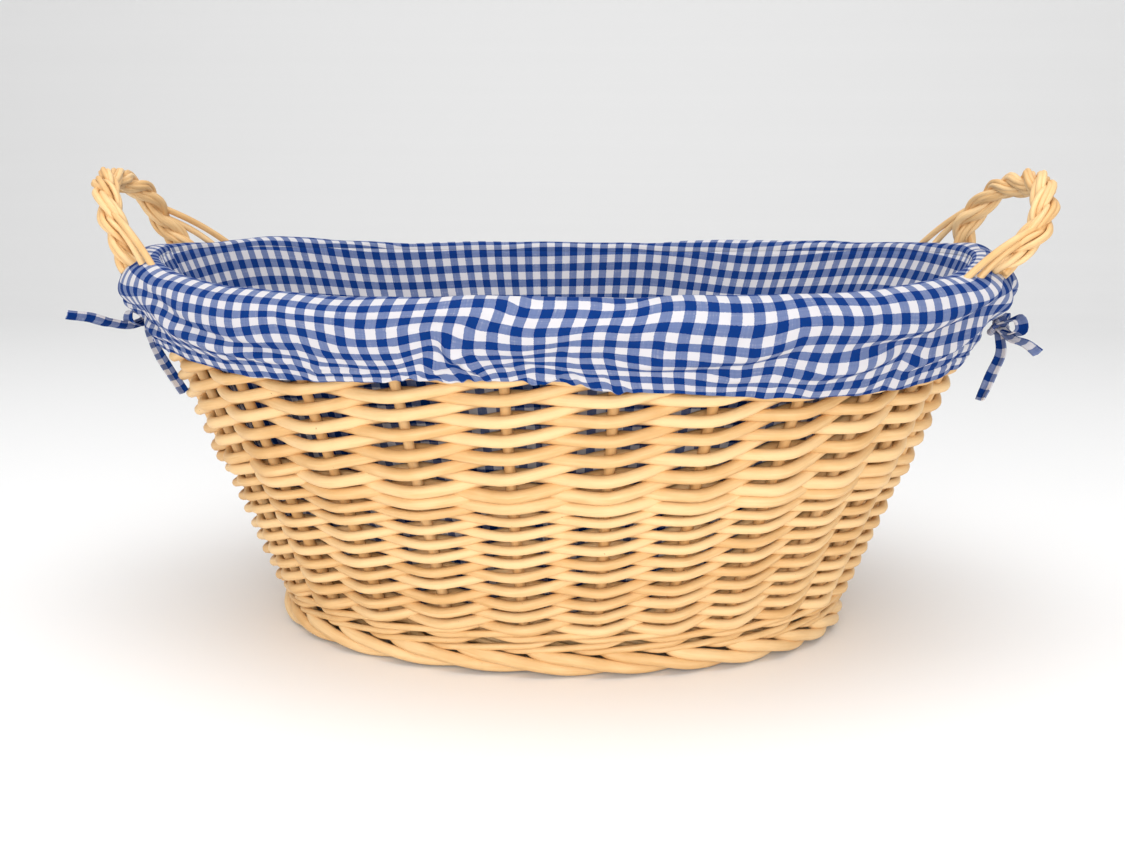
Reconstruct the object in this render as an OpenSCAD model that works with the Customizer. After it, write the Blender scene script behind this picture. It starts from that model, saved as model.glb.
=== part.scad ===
// Oval willow bread basket with two roped end handles and a tied cotton liner.
// The origin is on the floor under the middle of the basket, +X runs to the right handle and +Z is up.

/* [Body] */
// Length of the oval at the rim, between stake centres
rim_length = 460; // [380:1:560]
// Width of the oval at the rim, between stake centres
rim_width = 316; // [260:1:400]
// Height of the rim, where the handles leave the wall
rim_height = 198; // [160:1:250]
// Length of the oval at the floor, between stake centres
base_length = 301; // [250:1:370]
// Width of the oval at the floor, between stake centres
base_width = 186; // [150:1:230]
// Height of the plaited foot that the basket stands on
foot_height = 13; // [9:0.5:18]
// How far the foot stands out from the stake centres
foot_reach = 9.5; // [8:0.5:13]
// Height of the wale that sets up the stakes, above the foot
wale_height = 15; // [13:1:22]
// Height at which the thin weavers stop and the thick ones begin
weave_change = 104; // [80:1:130]
// Height of the rolled border at the rim
border_height = 11; // [8:0.5:15]
// How far the rolled border stands above rim_height
border_rise = 2; // [1:0.5:6]

/* [Rods] */
// How many stakes stand in the wall, an even number
stake_count = 26; // [24:2:30]
// How far the stakes stray to the right along the front, in degrees round the oval
stake_drift = 2.8; // [0:0.1:3.5]
// Diameter of a stake
stake_d = 5; // [4:0.1:6.2]
// Length of the butt of a stake, pushed into the base
stake_butt = 26; // [18:1:32]
// Diameter of a thin weaver, in the lower weave and the wale
thin_rod_d = 4.2; // [3.2:0.1:5.2]
// Diameter of a thick weaver, in the upper weave and the border
thick_rod_d = 5.2; // [4:0.1:6.4]
// Slack around a rod that passes through woven work
rod_slack = 0.2; // [0.1:0.05:0.4]

/* [Base] */
// Thickness of the woven base
base_t = 9; // [8:0.5:12]
// Diameter of the short sticks that cross the base
cross_stick_d = 6; // [5:0.1:7]
// How many short sticks cross the base
cross_stick_count = 7; // [5:2:9]
// Distance between the short sticks
cross_stick_pitch = 26; // [20:1:30]
// Diameter of the long sticks, which pierce the short ones
long_stick_d = 3.2; // [2.6:0.1:3.6]
// Distance between the three long sticks
long_stick_pitch = 22; // [14:1:28]

/* [Handles] */
// Diameter of the bow, the single thick rod inside each handle
bow_d = 7; // [5.5:0.1:9]
// How far above the change of rods the handles' legs end
leg_end = 2; // [1:0.5:30]
// Which stake, counted from the end of the oval, each leg runs beside
leg_stake = 1; // [1:1:2]
// Gap between a leg and its stake, which share a channel in the woven work
leg_gap = 0.3; // [0.1:0.1:1]
// How far out from the stakes' centres the legs run
leg_out = 1.5; // [0:0.1:1.8]
// Lean of the arch of the handle away from upright, in degrees
handle_lean = 29; // [22:1:38]
// How far a leg turns outwards above the rim, before the arch
leg_kick = 6; // [2:0.5:10]
// Straight length of each leg between the outward turn and the arch
handle_rise = 5; // [2:0.5:20]
// Diameter of one rod of the rope that wraps the bow
rope_rod_d = 4.2; // [3:0.1:5]

/* [Liner] */
// Thickness of the cotton with its small creases
cloth_t = 2; // [1:0.1:3]
// Gap between the cotton and the wicker
cloth_gap = 0.4; // [0.3:0.05:0.8]
// How far the skirt hangs below rim_height, outside the wall
skirt_drop = 34; // [26:1:46]
// Thickness of the gathered skirt where it is fullest
skirt_puff = 6.5; // [4:0.5:9]
// Width of the cord of the drawstring in the skirt's hem
string_w = 2; // [1.5:0.1:2.6]
// Width of the tape of the ties
tape_w = 7; // [5:0.5:9]
// Thickness of the folded tape of the ties
tape_t = 1.6; // [1.2:0.1:2]
// Diameter of the knot of a tie
knot_d = 11; // [8:0.5:13]

/* [Hidden] */

oval_steps = 3 * stake_count; // flats in each turn of a woven band or cloth
base_lift = foot_height; // the base rests on the foot
touch = 0.3; // room between cloth pieces that rest on each other
butt_taper = 0.9; // the pushed-in end of a rod is thinned by this

straw = "#e9c68c";
pale_straw = "#f2d7a2";
dark_straw = "#d9ad69";
gingham = "#5f7fc0";
navy_tape = "#31539b";

thin_reach = stake_d / 2 + thin_rod_d; // from the stake centres to the face of the thin weave
thick_reach = stake_d / 2 + thick_rod_d; // from the stake centres to the face of the thick weave
wale_top = foot_height + wale_height;
border_top = rim_height + border_rise;
border_bottom = border_top - border_height;
base_top = base_lift + base_t;
stick_z = base_lift + base_t / 2; // the sticks and the stake butts lie in the middle of the base
stake_top = border_bottom + border_height / 2;
stake_step = 360 / stake_count;
rope_d = bow_d + 2 * rope_rod_d;

// ---- The oval wall -------------------------------------------------------------------------------

function between(low, high, share) = low + (high - low) * share;
function semi_x(z) = between(base_length, rim_length, z / rim_height) / 2;
function semi_y(z) = between(base_width, rim_width, z / rim_height) / 2;
function unit(v) = v / norm(v);

// The outward direction of the oval in plan, at the angle t.
function plan_out(t, z) = unit([cos(t) * semi_y(z), sin(t) * semi_x(z)]);

// A point of the wall: the angle t round the oval, the height z and the distance out, level, from
// the stakes.
function wall_point(t, z, out) = let (plan = plan_out(t, z))
    [semi_x(z) * cos(t) + out * plan.x, semi_y(z) * sin(t) + out * plan.y, z];

// How a stake leans at the angle t: the level distance it moves for each millimetre of height.
function lean(t) = [(rim_length - base_length) * cos(t), (rim_width - base_width) * sin(t), 0]
    / rim_height / 2;

// A level cut through a leaning rod is a circle, stretched the way the rod leans.
function on_level_cut(v, lean_by) = norm(lean_by) < 0.001 ? v : let (way = unit(lean_by))
    v + (norm([1, norm(lean_by)]) - 1) * (v * way) * way;

// The stakes stand at even steps round the oval, one at each end, but stray a little to the right
// along the front and to the left along the back.
function stake_angle(i) = let (even = i * stake_step) even + stake_drift * pow(sin(even), 4);

// ---- Shared shapes -------------------------------------------------------------------------------

// A straight round rod from p to q.
module rod(p, q, d, fn = 32) {
    v = q - p;
    translate(p)
        rotate([0, acos(v.z / norm(v)), atan2(v.y, v.x)])
            cylinder(h = norm(v), d = d, $fn = fn);
}

// A strip of the wall from angle t0 to t1, closed on itself if they are a full turn apart. The profile
// at each angle is a loop of [height, distance out], anticlockwise when the distance out runs to the
// right. Every angle has the same number of points in its loop.
module wall_strip(t0, t1, profiles) {
    closed = t1 - t0 >= 360;
    rows = len(profiles);
    sides = len(profiles[0]);
    bays = closed ? rows : rows - 1;
    points = [for (i = [0:rows - 1]) for (p = profiles[i])
        wall_point(between(t0, t1, i / bays), p[0], p[1])];
    skin = [for (i = [0:bays - 1]) for (j = [0:sides - 1]) let (
            here = i * sides,
            next = (i + 1) % rows * sides,
            k = (j + 1) % sides
        ) each [[here + j, next + k, next + j], [here + j, here + k, next + k]]];
    ends = closed ? [] : [[for (j = [0:sides - 1]) j],
        [for (j = [sides - 1:-1:0]) (rows - 1) * sides + j]];
    polyhedron(points, concat(skin, ends), convexity = 8);
}

module wall_ring(profile) {
    wall_strip(0, 360, [for (i = [1:oval_steps]) profile]);
}

// A woven band with one channel for each stake. Each level is [height, distance in, distance out].
// The channel of a stake that has a handle leg beside it is wide enough for both rods.
module channel_band(levels, leg_room) {
    rows = len(levels);
    per = 16; // points in one bay at one height: 8 on its edge, of which 2 are shared, and 8 in the hole
    hole_r = (stake_d + rod_slack) / 2 / cos(22.5);
    points = [for (l = levels) for (i = [0:stake_count - 1]) let (
            t = stake_angle(i),
            z = l[0],
            plan = plan_out(t, z),
            along = [-plan.y, plan.x, 0],
            face = [plan.x, plan.y, 0],
            middle = wall_point(t, z, 0),
            leg = leg_room > 0 && leg_sign(i) != [0, 0] ? leg_at(leg_sign(i), z) : middle,
            side = (leg - middle) * along
        ) each concat(
            [for (k = [-3, -1, 1, 3]) wall_point(t + k * stake_step / 6, z, l[2])],
            [for (k = [3, 1, -1, -3]) wall_point(t + k * stake_step / 6, z, -l[1])],
            [for (k = [0:7]) let (
                    a = 157.5 - 45 * k,
                    beside = side * cos(a) > 0,
                    r = side != 0 ? max(hole_r, leg_room / 2 / cos(22.5)) : hole_r
                ) (beside ? leg : middle) + on_level_cut(r * (cos(a) * along + sin(a) * face), lean(t))])];
    function id(row, bay, k) = (row * stake_count + bay % stake_count) * per + k;
    // The last edge point of one bay is the first of the next.
    function edge(row, bay, k) = k == 3 ? id(row, bay + 1, 0) : k == 4 ? id(row, bay + 1, 7) : id(row, bay, k);
    skin = [for (row = [0:rows - 2]) for (bay = [0:stake_count - 1]) each concat(
        [for (k = [0, 1, 2, 4, 5, 6]) each let (
                p = edge(row, bay, k), q = edge(row, bay, k + 1),
                r = edge(row + 1, bay, k + 1), s = edge(row + 1, bay, k)
            ) [[p, q, r], [p, r, s]]],
        [for (k = [0:7]) each let (
                p = id(row, bay, 8 + k), q = id(row, bay, 8 + (k + 1) % 8),
                r = id(row + 1, bay, 8 + (k + 1) % 8), s = id(row + 1, bay, 8 + k)
            ) [[p, r, q], [p, s, r]]])];
    caps = [for (bay = [0:stake_count - 1]) for (k = [0:7]) each let (
            top = rows - 1,
            m = (k + 1) % 8
        ) [[edge(top, bay, k), edge(top, bay, m), id(top, bay, 8 + m)],
            [edge(top, bay, k), id(top, bay, 8 + m), id(top, bay, 8 + k)],
            [edge(0, bay, k), id(0, bay, 8 + m), edge(0, bay, m)],
            [edge(0, bay, k), id(0, bay, 8 + k), id(0, bay, 8 + m)]]];
    // Points 3 and 4 of every bay repeat the next bay's 0 and 7, so only those faces use them.
    polyhedron(points, concat(skin, caps), convexity = 10);
}

function band_profile(low, high, inner, outer) = [[low, inner], [low, outer], [high, outer], [high, inner]];

// A flat plate with the oval outline that the wall has at the height z, moved out by out.
module oval_plate(z, out, t) {
    translate([0, 0, z])
        linear_extrude(t)
            polygon([for (i = [0:oval_steps - 1]) let (
                    a = 360 * i / oval_steps,
                    p = [semi_x(z) * cos(a), semi_y(z) * sin(a)]
                ) p + out * plan_out(a, z)]);
}

// A flat tape that is swept along a list of points, with its width across the direction side.
module tape(route, side, width, t) {
    last = len(route) - 1;
    across = unit(side);
    points = [for (i = [0:last]) let (
            along = unit(route[min(i + 1, last)] - route[max(i - 1, 0)]),
            wide = unit(across - (across * along) * along) * width / 2,
            thick = unit(cross(along, wide)) * t / 2
        ) each [route[i] - wide - thick, route[i] + wide - thick, route[i] + wide + thick,
            route[i] - wide + thick]];
    walls = [for (i = [0:last - 1]) for (j = [0:3]) let (
            here = 4 * i,
            next = here + 4,
            k = (j + 1) % 4
        ) each [[here + j, next + j, next + k], [here + j, next + k, here + k]]];
    ends = [[0, 1, 2], [0, 2, 3], [4 * last, 4 * last + 2, 4 * last + 1],
        [4 * last, 4 * last + 3, 4 * last + 2]];
    polyhedron(points, concat(walls, ends), convexity = 6);
}

// ---- Base ----------------------------------------------------------------------------------------

butt_reach = stake_butt + stake_d; // the sticks stop where the stake butts begin

module cross_stick_rods(d) {
    for (i = [0:cross_stick_count - 1]) {
        x = (i - (cross_stick_count - 1) / 2) * cross_stick_pitch;
        room_x = semi_x(stick_z) - butt_reach;
        half = (semi_y(stick_z) - butt_reach) * sqrt(max(0.05, 1 - pow(x / room_x, 2)));
        rod([x, -half, stick_z], [x, half, stick_z], d);
    }
}

module long_stick_rods(d) {
    for (i = [-1:1]) {
        y = i * long_stick_pitch;
        room_y = semi_y(stick_z) - butt_reach;
        half = (semi_x(stick_z) - butt_reach) * sqrt(max(0.05, 1 - pow(y / room_y, 2)));
        rod([-half, y, stick_z], [half, y, stick_z], d);
    }
}

module base_cross_sticks() {
    color(straw)
        difference() {
            cross_stick_rods(cross_stick_d);
            long_stick_rods(long_stick_d + rod_slack);
        }
}

module base_long_sticks() {
    color(pale_straw)
        long_stick_rods(long_stick_d);
}

module base_weave() {
    color(pale_straw)
        difference() {
            oval_plate(base_lift, -stake_d / 2 - touch, base_t);
            cross_stick_rods(cross_stick_d + rod_slack);
            long_stick_rods(long_stick_d + rod_slack);
            stake_butts(stake_d + rod_slack);
        }
}

// ---- Wall ----------------------------------------------------------------------------------------

module stake_butts(d) {
    for (i = [0:stake_count - 1]) {
        t = stake_angle(i);
        bend = wall_point(t, stick_z, 0);
        inward = plan_out(t, stick_z);
        rod(bend - stake_butt * [inward.x, inward.y, 0], bend, d);
    }
}

// Each stake is one bent rod: a butt that lies in the base and an upright that leans with the wall.
module stakes() {
    color(straw) {
        stake_butts(butt_taper * stake_d);
        for (i = [0:stake_count - 1]) {
            t = stake_angle(i);
            rod(wall_point(t, stick_z - stake_d / 2, 0), wall_point(t, stake_top, 0), stake_d);
        }
    }
}

module foot_border() {
    color(straw)
        wall_ring([[0, -thin_reach], [0, foot_reach - 2], [foot_height / 3, foot_reach],
            [foot_height * 2 / 3, foot_reach], [foot_height, thin_reach], [foot_height, -thin_reach]]);
}

wale_in = stake_d / 2 * norm([1, norm(lean(0))]) + rod_slack;

// The wale runs round the outside of the stakes, over the edge of the base.
module upsett_wale() {
    color(straw)
        wall_ring([[foot_height, wale_in], [foot_height, thin_reach],
            [between(foot_height, wale_top, 0.5), thin_reach + 1], [wale_top, thin_reach],
            [wale_top, wale_in]]);
}

module lower_weave() {
    color(pale_straw)
        channel_band([[wale_top, thin_reach, thin_reach], [weave_change, thin_reach, thin_reach]], 0);
}

module upper_weave() {
    color(straw)
        channel_band([[weave_change, thick_reach, thick_reach], [border_bottom, thick_reach, thick_reach]],
            bow_d + 4 * rod_slack);
}

module rim_border() {
    shoulder = border_height / 3;
    color(dark_straw)
        channel_band([[border_bottom, thick_reach, thick_reach],
            [border_top - shoulder, thick_reach, thick_reach],
            [border_top, thick_reach - shoulder, thick_reach - shoulder]], bow_d + 4 * rod_slack);
}

// ---- Handles, drawn at the right-hand end --------------------------------------------------------

bend_z = border_top + bow_d / 2; // a leg bends outwards when it is clear of the border
leg_bottom_z = weave_change + leg_end;
leg_shift = (stake_d + bow_d) / 2 + leg_gap;

// Which quarter the leg beside stake i is in, or [0, 0] where there is no leg.
function leg_sign(i) = let (half = stake_count / 2, n = leg_stake)
    i == n ? [1, 1] : i == stake_count - n ? [1, -1] : i == half - n ? [-1, 1] : i == half + n ? [-1, -1] : [0, 0];

// A point on a leg's line, beside a stake and away from the end of the oval. The four legs mirror
// each other.
function leg_at(sign, z) = let (
        t = stake_angle(leg_stake),
        plan = plan_out(t, z),
        p = wall_point(t, z, leg_out) + leg_shift * [-plan.y, plan.x, 0]
    ) [sign.x * p.x, sign.y * p.y, p.z];

function leg_point(z) = leg_at([1, -1], z);

leg_top = leg_point(bend_z);
arch_up = [sin(handle_lean), 0, cos(handle_lean)];
arch_foot = leg_top + leg_kick * [1, 0, 0.8];
arch_r = -arch_foot.y;
arch_lap = 2; // how far the straight legs of the rope run on into its arch

function mirrored(p) = [p.x, -p.y, p.z];

// A point of the arch's middle line, from the front leg at 0 degrees to the back leg at 180.
function arch_point(a) = [arch_foot.x, 0, arch_foot.z] + (handle_rise + arch_r * sin(a)) * arch_up
    + [0, -arch_r * cos(a), 0];

// The bow is one rod: a thinned end down beside a stake, a leg, the arch and the same back down.
bow_half = concat(
    [[leg_point(leg_bottom_z), butt_taper], [leg_point(border_top), butt_taper],
        [leg_top + [0.5, 0, 1.2], 0.95], [arch_foot + handle_rise * 0.3 * arch_up, 1]],
    [for (a = [3:6:87]) [arch_point(a), 1]]);
bow_route = concat(bow_half, [for (i = [len(bow_half) - 1:-1:0]) [mirrored(bow_half[i][0]), bow_half[i][1]]]);

module handle_bow() {
    last = len(bow_route) - 1;
    sides = 20;
    points = [for (i = [0:last]) let (
            along = unit(bow_route[min(i + 1, last)][0] - bow_route[max(i - 1, 0)][0]),
            one = unit(cross(along, [cos(handle_lean), 0, -sin(handle_lean)])),
            two = cross(along, one)
        ) for (k = [0:sides - 1]) bow_route[i][0]
            + bow_route[i][1] * bow_d / 2 * (cos(360 * k / sides) * one + sin(360 * k / sides) * two)];
    skin = [for (i = [0:last - 1]) for (k = [0:sides - 1]) let (
            here = i * sides,
            next = here + sides,
            m = (k + 1) % sides
        ) each [[here + k, next + m, here + m], [here + k, next + k, next + m]]];
    color(dark_straw)
        polyhedron(points, concat(skin,
            [[for (k = [0:sides - 1]) k], [for (k = [sides - 1:-1:0]) last * sides + k]]), convexity = 6);
}

// The rope wraps the bow from just above the border all the way over.
module rope_leg(side) {
    foot = side == 0 ? arch_foot : mirrored(arch_foot);
    length = handle_rise + arch_lap;
    difference() {
        rod(foot, foot + length * arch_up, rope_d - 2 * rod_slack, 40);
        rod(foot - arch_up, foot + (length + 1) * arch_up, bow_d + 3 * rod_slack, 40);
    }
}

// The half ring over the top of a handle, bored for the bow.
module rope_arch() {
    translate([arch_foot.x, 0, arch_foot.z] + handle_rise * arch_up)
        rotate([0, handle_lean, 0])
            rotate([90, 0, 90])
                rotate_extrude(angle = 180, $fn = 96)
                    translate([arch_r, 0])
                        difference() {
                            circle(d = rope_d, $fn = 40);
                            circle(d = bow_d + 2 * rod_slack, $fn = 40);
                        }
}

module handle_rope() {
    color(straw)
        union() {
            rope_leg(0);
            rope_leg(1);
            rope_arch();
        }
}

// ---- Liner ---------------------------------------------------------------------------------------

cloth_reach = thick_reach + cloth_gap; // the cotton's face next to the wicker
liner_top = border_top + cloth_gap + cloth_t;
hem_z = rim_height - skirt_drop;
channel = string_w + 2 * touch; // the room for the drawstring in the hem
shoulder_out = thick_reach - border_height / 3 + cloth_gap; // where the cloth turns over the border
shoulder_in = -shoulder_out;

module liner_floor() {
    color(gingham)
        oval_plate(base_top + touch, -cloth_reach - cloth_t - touch, cloth_t);
}

module liner_wall() {
    color(gingham)
        wall_ring(band_profile(base_top + cloth_t + 2 * touch, border_top - border_height / 3,
            -cloth_reach - cloth_t, -cloth_reach));
}

// The skirt turns over the border and hangs outside, with a channel for the drawstring along its hem.
skirt_over = [
    [border_top + cloth_gap, shoulder_in],
    [border_top + cloth_gap, shoulder_out],
    [border_top - border_height / 3, cloth_reach],
    [hem_z + cloth_t + channel, cloth_reach],
    [hem_z + cloth_t + channel, cloth_reach + channel],
    [hem_z + cloth_t, cloth_reach + channel],
    [hem_z + cloth_t, cloth_reach],
    [hem_z, cloth_reach],
    [hem_z, cloth_reach + channel + cloth_t],
    [hem_z + skirt_drop / 3, cloth_reach + 0.85 * skirt_puff],
    [rim_height - skirt_puff, cloth_reach + skirt_puff],
    [border_top - border_height / 3, cloth_reach + cloth_t],
    [liner_top, shoulder_out],
    [liner_top, shoulder_in]];

// Beside a handle the cloth is slit, and stays below the place where the leg leaves the wall. From
// there it climbs the border's outer face and then its shoulder before it turns over.
slit_z = border_top - border_height * 0.75;
shoulder_z = border_top - border_height / 3;
skirt_slit = [for (i = [0:len(skirt_over) - 1]) let (p = skirt_over[i])
    i < 3 ? [slit_z - 0.3 * (2 - i), cloth_reach + 0.25 * (2 - i)]
    : i > 9 ? [slit_z - 0.4 * (13 - i), cloth_reach + 1 + 0.9 * (13 - i)]
    : p];
skirt_climb = [for (i = [0:len(skirt_over) - 1]) let (p = skirt_over[i])
    i < 3 ? [shoulder_z + 0.2 * (2 - i), cloth_reach]
    : i > 11 ? [shoulder_z + 0.7, cloth_reach + 2 * (13.4 - i) / 1.4]
    : p];
skirt_crest = [for (i = [0:len(skirt_over) - 1]) let (p = skirt_over[i])
    i == 0 || i == 13 ? [p[0], shoulder_out - 0.3] : p];

slit_half = arch_r + rope_d / 2 + 2 * touch; // half the width of the opening for a handle

module skirt(side) {
    t0 = side > 0 ? touch : -180 + touch;
    t1 = side > 0 ? 180 - touch : -touch;
    rows = oval_steps;
    width = semi_y(rim_height);
    past = [for (i = [0:rows]) floor((width * abs(sin(between(t0, t1, i / rows))) - slit_half)
        / (width * PI / rows))];
    color(gingham)
        wall_strip(t0, t1, [for (i = [0:rows])
            past[i] < 0 ? skirt_slit : past[i] < 1 ? skirt_climb : past[i] < 2 ? skirt_crest : skirt_over]);
}

module drawstring(side) {
    low = hem_z + cloth_t + touch;
    inner = cloth_reach + touch;
    t0 = side > 0 ? touch : -180 + touch;
    t1 = side > 0 ? 180 - touch : -touch;
    color(navy_tape)
        wall_strip(t0, t1,
            [for (i = [0:oval_steps / 2]) band_profile(low, low + string_w, inner, inner + string_w)]);
}

// ---- Ties ----------------------------------------------------------------------------------------

knot_z = rim_height - 24;
knot_out = cloth_reach + skirt_puff + knot_d / 2 + touch;
knot_at = wall_point(0, knot_z, knot_out);

function at_end(p, end) = [end * p.x, p.y, p.z];

module tie_knot(end) {
    color(navy_tape)
        translate(at_end(knot_at, end))
            sphere(d = knot_d, $fn = 40);
}

// The loops and tails leave the knot from its surface. Each route is listed from the knot outwards.
knot_clear = knot_d / 2 + touch;
loop_routes = [
    [[1, -knot_clear, 2], [4, -knot_clear - 6, 5], [6, -knot_clear - 12, 5], [7, -knot_clear - 17, 2]],
    [[1, knot_clear, 2], [4, knot_clear + 6, 5], [6, knot_clear + 11, 4], [6, knot_clear + 15, 1]]];
left_tail_routes = [
    [[-2, -knot_clear, -3], [2, -22, -4], [9, -38, 0], [17, -50, 6], [22, -61, 8]],
    [[0, -3, -knot_clear], [-4, -8, -13], [-13, -18, -25], [-23, -31, -36]]];
right_tail_routes = [
    [[1, -knot_clear, -3], [6, -16, -7], [12, -28, -8], [17, -36, -12]],
    [[0, -3, -knot_clear], [1, -9, -15], [-2, -14, -26], [-5, -17, -36]]];

module tie_tapes(routes, end) {
    color(navy_tape)
        for (route = routes)
            tape([for (p = route) at_end(knot_at + p, end)], [1, 0, 0.2], tape_w, tape_t);
}

// ---- Nodes ---------------------------------------------------------------------------------------

foot_border();
base_cross_sticks();
base_long_sticks();
base_weave();
stakes();
upsett_wale();
lower_weave();
upper_weave();
rim_border();
mirror([1, 0, 0]) handle_bow();  // left_handle_bow
handle_bow();  // right_handle_bow
mirror([1, 0, 0]) handle_rope();  // left_handle_rope
handle_rope();  // right_handle_rope
liner_floor();
liner_wall();
skirt(-1);  // front_skirt
skirt(1);  // back_skirt
drawstring(-1);  // front_drawstring
drawstring(1);  // back_drawstring
tie_knot(-1);  // left_tie_knot
tie_knot(1);  // right_tie_knot
tie_tapes(loop_routes, -1);  // left_tie_loops
tie_tapes(loop_routes, 1);  // right_tie_loops
tie_tapes(left_tail_routes, -1);  // left_tie_tails
tie_tapes(right_tail_routes, 1);  // right_tie_tails
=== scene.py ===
# %% [markdown]
# # A lined willow bread basket
#
# The real basket is made from about two hundred willow rods and a few pieces of cotton. Stakes stand up
# from a woven base, thin and thick rods are woven round them, and the stakes' ends are rolled down into
# a border. Two roped handles are pushed down beside the stakes, and a checked liner is tied over the rim.
# This notebook builds it in the same order. Every rod is a tube swept along a worked-out path, because
# woven work only looks right when each rod really passes in front of and behind the others.

import bpy
import numpy as np
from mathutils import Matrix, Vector


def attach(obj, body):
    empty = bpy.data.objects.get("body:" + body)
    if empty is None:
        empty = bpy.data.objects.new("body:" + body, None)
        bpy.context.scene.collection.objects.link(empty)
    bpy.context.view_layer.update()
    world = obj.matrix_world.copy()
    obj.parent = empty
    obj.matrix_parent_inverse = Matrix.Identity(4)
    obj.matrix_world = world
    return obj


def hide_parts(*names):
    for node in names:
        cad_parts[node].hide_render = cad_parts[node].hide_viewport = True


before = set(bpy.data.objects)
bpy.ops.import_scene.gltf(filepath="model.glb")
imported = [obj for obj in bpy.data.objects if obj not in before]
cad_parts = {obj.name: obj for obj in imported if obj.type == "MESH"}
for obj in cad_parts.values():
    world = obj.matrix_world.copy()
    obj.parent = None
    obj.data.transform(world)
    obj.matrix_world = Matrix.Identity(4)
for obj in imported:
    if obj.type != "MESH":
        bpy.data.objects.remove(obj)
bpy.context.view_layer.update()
TURN = 2 * np.pi
print("frame nodes:", len(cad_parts))

# %% [markdown]
# ## The shape of the wall
#
# Everything sits on one leaning oval wall, so all paths are written in the wall's own terms: how far
# round the oval, how high, and how far out from the middle of the stakes. These few functions turn
# those three numbers into a point. Sizes are in metres, and match the fixed frame.

# %% The leaning oval
RIM_LENGTH, RIM_WIDTH, RIM_HEIGHT = 0.460, 0.316, 0.198
BASE_LENGTH, BASE_WIDTH = 0.301, 0.186
STAKES = 26
STAKE_DRIFT = np.radians(2.8)  # how far the stakes along the front and back stray from even steps
STAKE_D, THIN_D, THICK_D = 0.0054, 0.0050, 0.0061
BORDER_TOP = 0.200


def semi_axes(z):
    """Half the length and half the width of the oval of stakes at the height z."""
    share = z / RIM_HEIGHT
    return (
        (BASE_LENGTH + (RIM_LENGTH - BASE_LENGTH) * share) / 2,
        (BASE_WIDTH + (RIM_WIDTH - BASE_WIDTH) * share) / 2,
    )


def wall(t, z, out, level=False):
    """Points on the wall. The distance out is square to the leaning wall, or level where asked."""
    t, z, out = np.broadcast_arrays(np.asarray(t, float), z, out)
    a, b = semi_axes(z)
    plan = np.stack([np.cos(t) * b, np.sin(t) * a], -1)
    plan /= np.linalg.norm(plan, axis=-1, keepdims=True)
    slope = ((RIM_LENGTH - BASE_LENGTH) * np.cos(t) * plan[..., 0]
             + (RIM_WIDTH - BASE_WIDTH) * np.sin(t) * plan[..., 1]) / RIM_HEIGHT / 2
    normal = np.concatenate([plan, -slope[..., None] * (not level)], -1)
    normal /= np.linalg.norm(normal, axis=-1, keepdims=True)
    return np.stack([a * np.cos(t), b * np.sin(t), z], -1) + out[..., None] * normal


def stake_turn(i):
    """The angle round the oval of stake i. A value between whole numbers lies between two stakes."""
    even = np.asarray(i, float) * TURN / STAKES
    return even + STAKE_DRIFT * np.sin(even) ** 4


# %% [markdown]
# ## Random numbers that never change
#
# Hand-made work is uneven, so rods wander a little and cloth creases. `wave` gives smooth random
# values along a line and `field` gives them over a surface. Both use a fixed seed, so the basket comes
# out the same each time.

# %% Smooth random values
def wave(x, seed):
    """Smooth random values from about -1 to 1 along x, one bump to each unit of x."""
    x = np.asarray(x, float)
    values = np.random.default_rng(seed).uniform(-1, 1, 1024)
    low = np.floor(x).astype(int)
    part = x - low
    part = part * part * (3 - 2 * part)
    return values[low % 1024] * (1 - part) + values[(low + 1) % 1024] * part


def field(x, y, seed):
    """Smooth random values from about -1 to 1 over a surface, one bump to each unit."""
    x, y = np.broadcast_arrays(np.asarray(x, float), y)
    values = np.random.default_rng(seed).uniform(-1, 1, (256, 256))
    ix, iy = np.floor(x).astype(int), np.floor(y).astype(int)
    px, py = x - ix, y - iy
    px, py = px * px * (3 - 2 * px), py * py * (3 - 2 * py)
    corner = lambda dx, dy: values[(ix + dx) % 256, (iy + dy) % 256]
    low = corner(0, 0) * (1 - px) + corner(1, 0) * px
    high = corner(0, 1) * (1 - px) + corner(1, 1) * px
    return low * (1 - py) + high * py


def ease(x, low, high):
    """Goes smoothly from 0 at low to 1 at high."""
    share = np.clip((np.asarray(x, float) - low) / (high - low), 0, 1)
    return share * share * (3 - 2 * share)


# %% [markdown]
# ## Sweeping a rod along a path
#
# A rod is a ring of points carried along its path. The ring has to turn with the path without
# spinning, so each step turns the last step's frame by the smallest amount that keeps it square to
# the path. Each rod carries its own shade, and a texture map that is the distance along it and round it.

# %% Rods and other mesh pieces
def unit(v):
    return v / np.maximum(np.linalg.norm(v, axis=-1, keepdims=True), 1e-12)


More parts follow.
